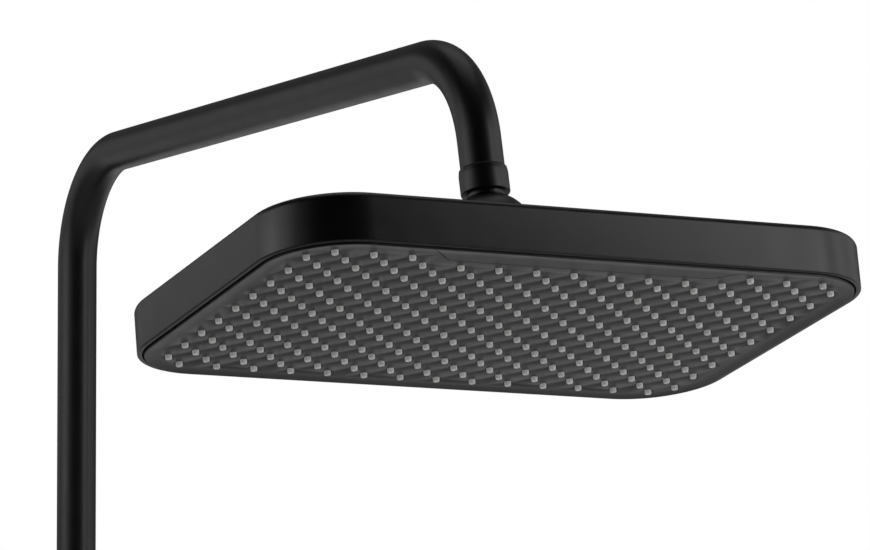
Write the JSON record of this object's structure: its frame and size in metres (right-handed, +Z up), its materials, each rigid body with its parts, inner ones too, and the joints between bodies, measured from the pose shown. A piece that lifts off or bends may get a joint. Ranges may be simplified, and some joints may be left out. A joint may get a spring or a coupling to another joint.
{
  "type": "shower column",
  "caption": "Wall mounted shower column: round riser bent over into a level arm, with a wide rectangular rain head on a ball joint.",
  "frame": {"origin": "where the axis of the water inlet meets the wall plane", "axes": "+Z up along the riser, +Y into the wall, +X to the right for someone facing the wall"},
  "size_m": [0.3183, 0.7149, 0.923],
  "materials": {
    "black_coat": "matt black powder coat on brass tube and fittings",
    "black_shell": "matt black moulded shell",
    "face_black": "satin black face plate",
    "brass": "turned brass",
    "steel": "stainless steel",
    "rubber": "black seal rubber",
    "bearing_white": "white acetal",
    "inner_plastic": "black moulded plastic",
    "silicone": "grey silicone"
  },
  "bodies": {
    "column": {"inlet_elbow": "black_coat", "inlet_rosette": "black_coat", "rosette_seal": "rubber", "riser_union_nut": "black_coat", "riser_olive": "brass", "riser_tube": "black_coat", "riser_coupler": "brass", "coupler_o_rings": "rubber", "arm_thrust_washer": "bearing_white", "bracket_base": "steel", "bracket_post": "black_coat", "bracket_rosette": "black_coat", "bracket_clamp": "black_coat", "arm_bush": "bearing_white", "bracket_grub_screws": "steel"},
    "arm": {"arm_tube": "black_coat", "arm_stop_pin": "steel", "arm_nipple": "brass", "flow_restrictor": "bearing_white", "filter_screen": "steel", "stem_washer": "rubber", "swivel_nut": "black_coat", "ball_stem": "brass"},
    "upper_seat": {"ball_seat_upper": "bearing_white"},
    "lower_seat": {"ball_seat_lower": "bearing_white"},
    "head": {"socket_cap": "black_shell", "socket_ring_nut": "inner_plastic", "socket_body": "inner_plastic", "ball_seal": "rubber", "head_housing": "black_shell", "chamber_cover": "inner_plastic", "inlet_o_ring": "rubber", "chamber_screws": "steel", "nozzle_mat": "silicone", "face_plate": "face_black", "rim_seal": "rubber"}
  },
  "joints": [
    {"name": "arm_swivel", "type": "hinge", "parent": "column", "child": "arm", "pos_m": [0, -0.07, 0.6], "axis": [0, 0, 1], "range_deg": [-60, 60]},
    {"name": "head_spin", "type": "hinge", "parent": "arm", "child": "upper_seat", "pos_m": [0, -0.58443, 0.782], "axis": [0, 0.2419, 0.9703], "continuous": true},
    {"name": "head_pitch", "type": "hinge", "parent": "upper_seat", "child": "lower_seat", "pos_m": [0, -0.58443, 0.782], "axis": [1, 0, 0], "range_deg": [-11, 7]},
    {"name": "head_roll", "type": "hinge", "parent": "lower_seat", "child": "head", "pos_m": [0, -0.58443, 0.782], "axis": [0, 0.9781, -0.2079], "range_deg": [-10, 8]}
  ]
}
